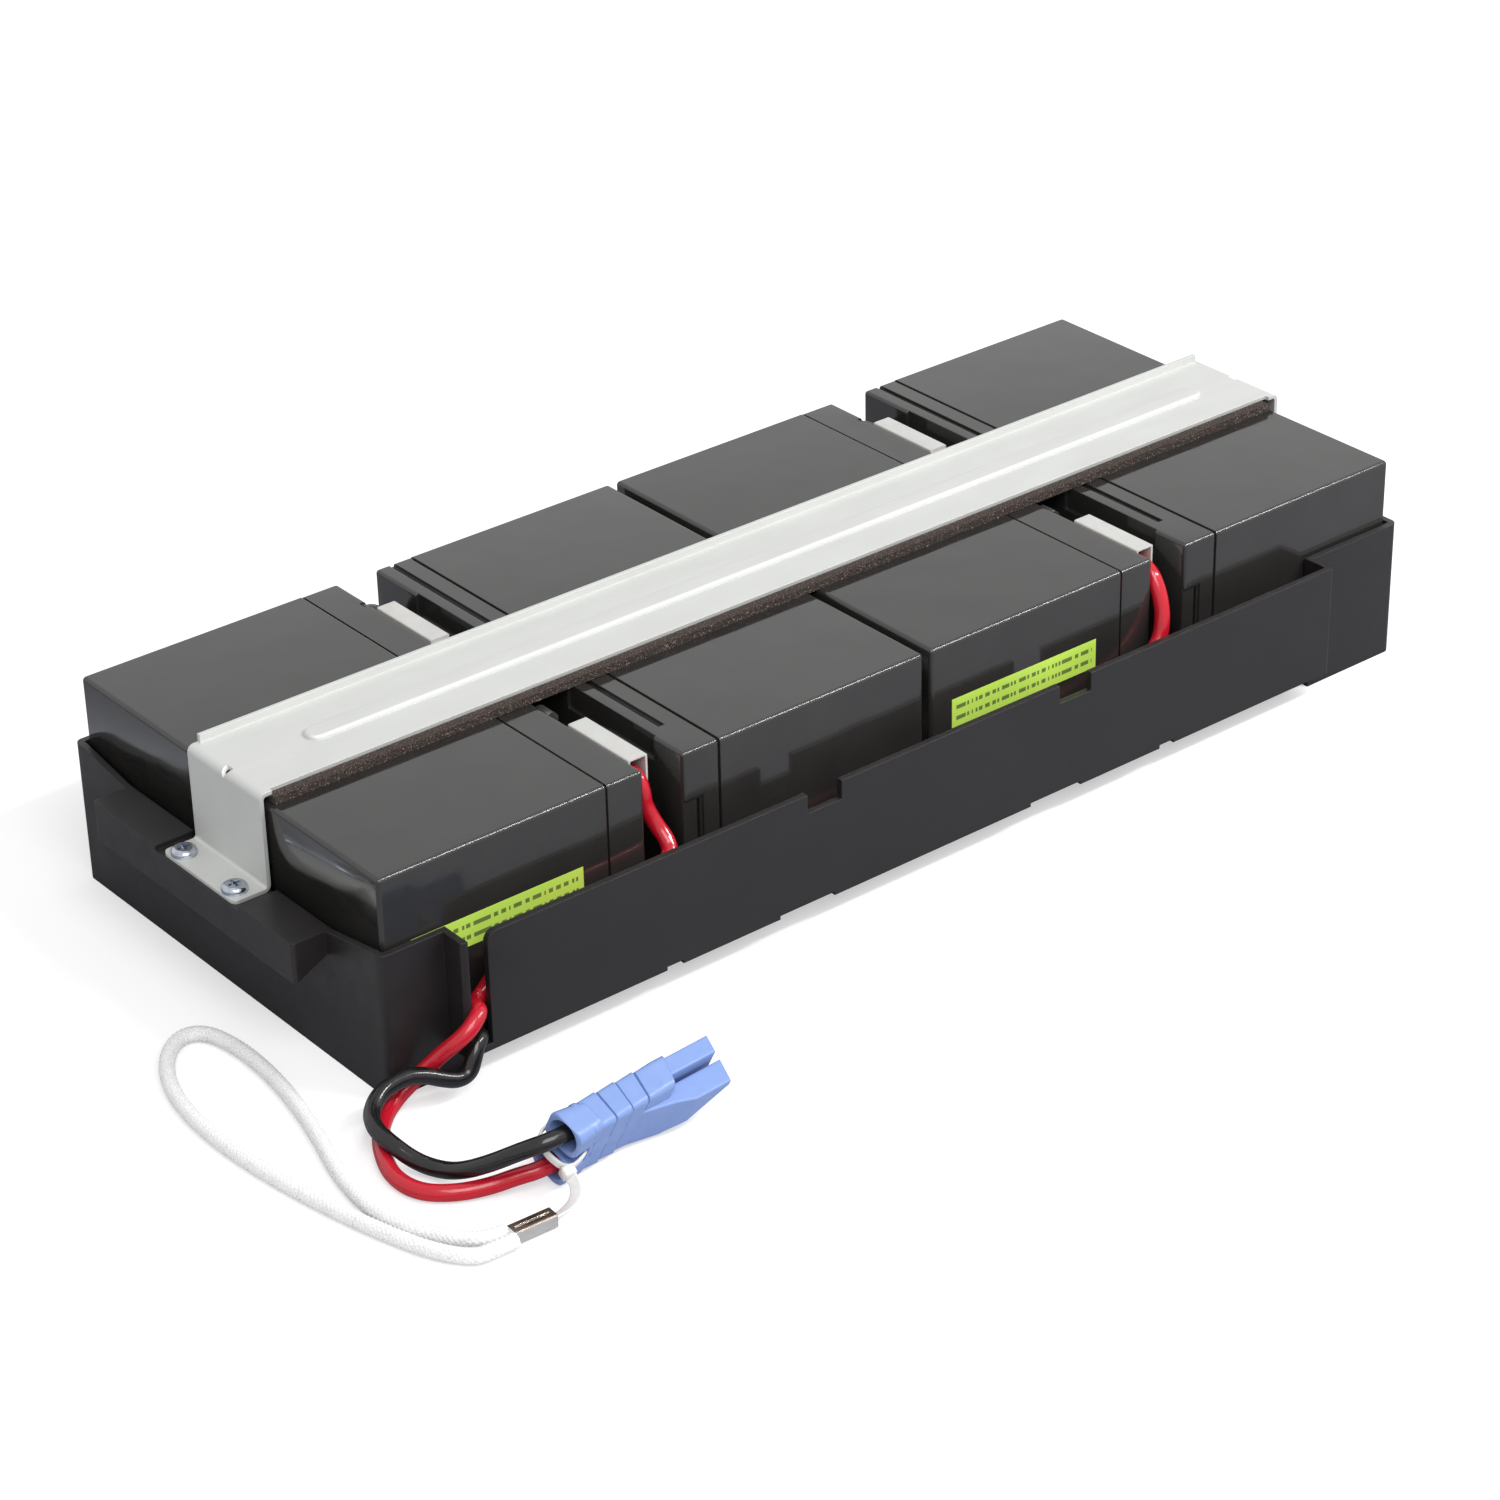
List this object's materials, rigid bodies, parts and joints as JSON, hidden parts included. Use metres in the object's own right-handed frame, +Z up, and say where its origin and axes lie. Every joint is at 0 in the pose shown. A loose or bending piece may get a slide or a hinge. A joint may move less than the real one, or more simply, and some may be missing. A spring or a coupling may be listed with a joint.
{
  "type": "ups battery cartridge",
  "caption": "Rack UPS battery cartridge: black tray of sealed lead-acid blocks under a pressed steel strap, with a blue plug on its leads and a pull cord.",
  "frame": {"origin": "centre of the underside of the tray, on the plane it stands on, measured over the cartridge without its free leads", "axes": "+X along the rows from the front ledge to the rear wall, +Y from the cable channel to the far side, +Z up"},
  "size_m": [0.5353, 0.2817, 0.0885],
  "materials": {
    "tray_plastic": "satin",
    "battery_plastic": "gloss",
    "galvanised_steel": "satin",
    "zinc_screw": "gloss",
    "brass_terminal": "satin",
    "white_nylon": "satin",
    "foam": "matte",
    "red_insulation": "gloss",
    "black_insulation": "gloss",
    "blue_plastic": "satin",
    "contact_metal": "satin",
    "ferrule_metal": "satin",
    "braided_cord": "matte",
    "label_green": "satin"
  },
  "bodies": {
    "root": {"battery_case_1": "battery_plastic", "battery_case_2": "battery_plastic", "battery_case_3": "battery_plastic", "battery_case_4": "battery_plastic", "battery_case_5": "battery_plastic", "battery_case_6": "battery_plastic", "battery_case_7": "battery_plastic", "battery_case_8": "battery_plastic", "battery_lid_1": "battery_plastic", "battery_lid_2": "battery_plastic", "battery_lid_3": "battery_plastic", "battery_lid_4": "battery_plastic", "battery_lid_5": "battery_plastic", "battery_lid_6": "battery_plastic", "battery_lid_7": "battery_plastic", "battery_lid_8": "battery_plastic", "battery_sticker_1": "label_green", "battery_sticker_2": "label_green", "black_feed_wire": "black_insulation", "black_lead": "black_insulation", "cable_tie": "white_nylon", "connector_contacts": "contact_metal", "connector_housing": "blue_plastic", "ferrule": "ferrule_metal", "floor_pads": "foam", "hold_down_strap": "galvanised_steel", "pull_cord": "braided_cord", "red_feed_wire": "red_insulation", "red_lead": "red_insulation", "series_jumper_1": "black_insulation", "series_jumper_2": "black_insulation", "series_jumper_3": "black_insulation", "series_jumper_4": "black_insulation", "series_jumper_5": "black_insulation", "series_jumper_6": "black_insulation", "series_jumper_7": "red_insulation", "strap_foam_far": "foam", "strap_foam_near": "foam", "strap_screws_front": "zinc_screw", "strap_screws_rear": "zinc_screw", "terminal_clips": "brass_terminal", "terminal_cover_1": "white_nylon", "terminal_cover_2": "white_nylon", "terminal_cover_3": "white_nylon", "terminal_cover_4": "white_nylon", "terminal_tabs_1": "brass_terminal", "terminal_tabs_2": "brass_terminal", "terminal_tabs_3": "brass_terminal", "terminal_tabs_4": "brass_terminal", "terminal_tabs_5": "brass_terminal", "terminal_tabs_6": "brass_terminal", "terminal_tabs_7": "brass_terminal", "terminal_tabs_8": "brass_terminal", "tray": "tray_plastic"}
  },
  "joints": []
}
